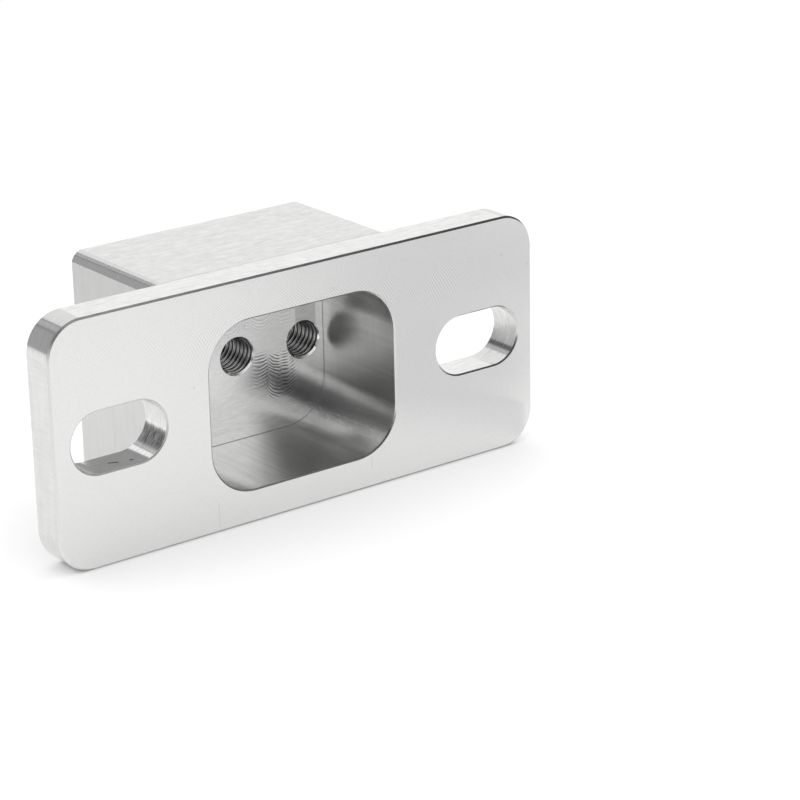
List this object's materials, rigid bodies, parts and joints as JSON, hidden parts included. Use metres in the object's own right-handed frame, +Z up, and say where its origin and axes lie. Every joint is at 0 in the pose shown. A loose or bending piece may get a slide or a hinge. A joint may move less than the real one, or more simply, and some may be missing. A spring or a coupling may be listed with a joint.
{
  "type": "machined mounting block",
  "caption": "Milled block behind a slotted flange plate, with a deep round-cornered pocket open through the flange and tapped holes in its end wall.",
  "frame": {"origin": "under the middle of the block, on the face that it stands on", "axes": "+X along the flange, +Y from the flange face towards the body's end face, +Z up"},
  "size_m": [0.133, 0.0438, 0.058],
  "materials": {
    "milled_aluminium": "bright milled aluminium with fine cutter marks, mill finish on the top and bottom"
  },
  "bodies": {
    "root": {"mounting_block": "milled_aluminium"}
  },
  "joints": []
}
